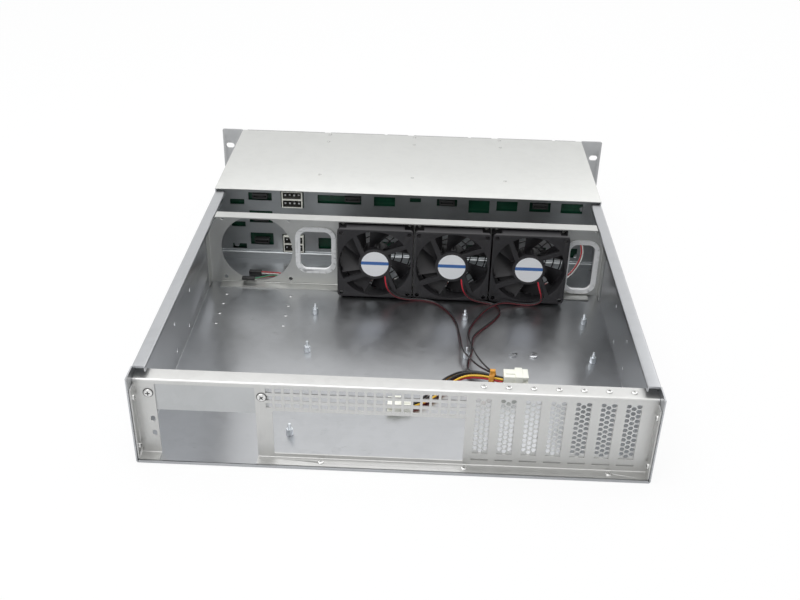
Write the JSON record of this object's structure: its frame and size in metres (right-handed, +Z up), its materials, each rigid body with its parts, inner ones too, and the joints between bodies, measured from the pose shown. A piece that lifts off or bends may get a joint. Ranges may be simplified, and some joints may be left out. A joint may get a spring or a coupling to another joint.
{
  "type": "rackmount server case",
  "caption": "Shallow two-unit rackmount server case, empty, rear cover off, with a perforated rear panel, a fan wall, a drive backplane and hot-swap drive trays under a fixed front cover.",
  "frame": {"origin": "middle of the footprint, on the underside of the case", "axes": "+Y points to the front with the drive trays, +X to the right seen from the rear, +Z up"},
  "size_m": [0.4826, 0.56, 0.088],
  "materials": {
    "galvanised_steel": "satin",
    "cover_steel": "satin",
    "cover_plate": "satin",
    "screw_steel": "polished",
    "fan_black": "matte",
    "guard_black": "satin",
    "grommet_grey": "matte",
    "board_green": "gloss",
    "socket_black": "matte",
    "plug_ivory": "matte",
    "tray_black": "matte",
    "ear_black": "satin",
    "trim_black": "matte",
    "brass_plated": "polished",
    "lead_black": "satin",
    "bundle_wires": "satin",
    "tie_orange": "matte"
  },
  "bodies": {
    "case": {"backplane_board": "board_green", "backplane_plate": "galvanised_steel", "board_standoffs": "brass_plated", "cable_grommet_left": "grommet_grey", "cable_grommet_right": "grommet_grey", "cable_tie": "tie_orange", "cage_divider_1": "galvanised_steel", "cage_divider_2": "galvanised_steel", "cage_divider_3": "galvanised_steel", "chassis_tray": "galvanised_steel", "ear_trim_left": "trim_black", "ear_trim_right": "trim_black", "fan_frame_1": "fan_black", "fan_frame_2": "fan_black", "fan_frame_3": "fan_black", "fan_guard_1": "guard_black", "fan_guard_2": "guard_black", "fan_guard_3": "guard_black", "fan_lead_1": "lead_black", "fan_lead_2": "lead_black", "fan_lead_3": "lead_black", "fan_wall": "galvanised_steel", "front_cover": "cover_steel", "pan_head_screws": "screw_steel", "panel_lead": "lead_black", "panel_lead_branch": "lead_black", "panel_plugs": "socket_black", "power_plugs": "plug_ivory", "power_sockets": "plug_ivory", "psu_bracket": "galvanised_steel", "rack_ear_left": "ear_black", "rack_ear_right": "ear_black", "rear_panel": "galvanised_steel", "sata_sockets": "socket_black", "slot_cover_1": "cover_plate", "slot_cover_2": "cover_plate", "slot_cover_3": "cover_plate", "slot_cover_4": "cover_plate", "slot_cover_5": "cover_plate", "slot_cover_6": "cover_plate", "slot_cover_7": "cover_plate", "wire_bundle": "bundle_wires"},
    "fan_rotor_1": {"fan_rotor_1": "fan_black"},
    "fan_rotor_2": {"fan_rotor_2": "fan_black"},
    "fan_rotor_3": {"fan_rotor_3": "fan_black"},
    "drive_tray_1": {"drive_tray_1": "tray_black"},
    "drive_tray_2": {"drive_tray_2": "tray_black"},
    "drive_tray_3": {"drive_tray_3": "tray_black"},
    "drive_tray_4": {"drive_tray_4": "tray_black"},
    "drive_tray_5": {"drive_tray_5": "tray_black"},
    "drive_tray_6": {"drive_tray_6": "tray_black"},
    "drive_tray_7": {"drive_tray_7": "tray_black"},
    "drive_tray_8": {"drive_tray_8": "tray_black"},
    "drive_tray_9": {"drive_tray_9": "tray_black"},
    "drive_tray_10": {"drive_tray_10": "tray_black"},
    "drive_tray_11": {"drive_tray_11": "tray_black"},
    "drive_tray_12": {"drive_tray_12": "tray_black"},
    "power_button": {"power_button": "trim_black"}
  },
  "joints": [
    {"name": "fan_rotor_1_spin", "type": "hinge", "parent": "case", "child": "fan_rotor_1", "pos_m": [-0.0313, 0.017, 0.0436], "axis": [0, 1, 0], "continuous": true},
    {"name": "fan_rotor_2_spin", "type": "hinge", "parent": "case", "child": "fan_rotor_2", "pos_m": [0.0504, 0.017, 0.0436], "axis": [0, 1, 0], "continuous": true},
    {"name": "fan_rotor_3_spin", "type": "hinge", "parent": "case", "child": "fan_rotor_3", "pos_m": [0.1321, 0.017, 0.0436], "axis": [0, 1, 0], "continuous": true},
    {"name": "drive_tray_1_slide", "type": "slide", "parent": "case", "child": "drive_tray_1", "axis": [0, 1, 0], "range_m": [0, 0.12]},
    {"name": "drive_tray_2_slide", "type": "slide", "parent": "case", "child": "drive_tray_2", "axis": [0, 1, 0], "range_m": [0, 0.12]},
    {"name": "drive_tray_3_slide", "type": "slide", "parent": "case", "child": "drive_tray_3", "axis": [0, 1, 0], "range_m": [0, 0.12]},
    {"name": "drive_tray_4_slide", "type": "slide", "parent": "case", "child": "drive_tray_4", "axis": [0, 1, 0], "range_m": [0, 0.12]},
    {"name": "drive_tray_5_slide", "type": "slide", "parent": "case", "child": "drive_tray_5", "axis": [0, 1, 0], "range_m": [0, 0.12]},
    {"name": "drive_tray_6_slide", "type": "slide", "parent": "case", "child": "drive_tray_6", "axis": [0, 1, 0], "range_m": [0, 0.12]},
    {"name": "drive_tray_7_slide", "type": "slide", "parent": "case", "child": "drive_tray_7", "axis": [0, 1, 0], "range_m": [0, 0.12]},
    {"name": "drive_tray_8_slide", "type": "slide", "parent": "case", "child": "drive_tray_8", "axis": [0, 1, 0], "range_m": [0, 0.12]},
    {"name": "drive_tray_9_slide", "type": "slide", "parent": "case", "child": "drive_tray_9", "axis": [0, 1, 0], "range_m": [0, 0.12]},
    {"name": "drive_tray_10_slide", "type": "slide", "parent": "case", "child": "drive_tray_10", "axis": [0, 1, 0], "range_m": [0, 0.12]},
    {"name": "drive_tray_11_slide", "type": "slide", "parent": "case", "child": "drive_tray_11", "axis": [0, 1, 0], "range_m": [0, 0.12]},
    {"name": "drive_tray_12_slide", "type": "slide", "parent": "case", "child": "drive_tray_12", "axis": [0, 1, 0], "range_m": [0, 0.12]},
    {"name": "power_button_press", "type": "slide", "parent": "case", "child": "power_button", "axis": [0, -1, 0], "range_m": [0, 0.0006], "stiffness_N_per_m": 400, "springref_m": -0.001}
  ]
}
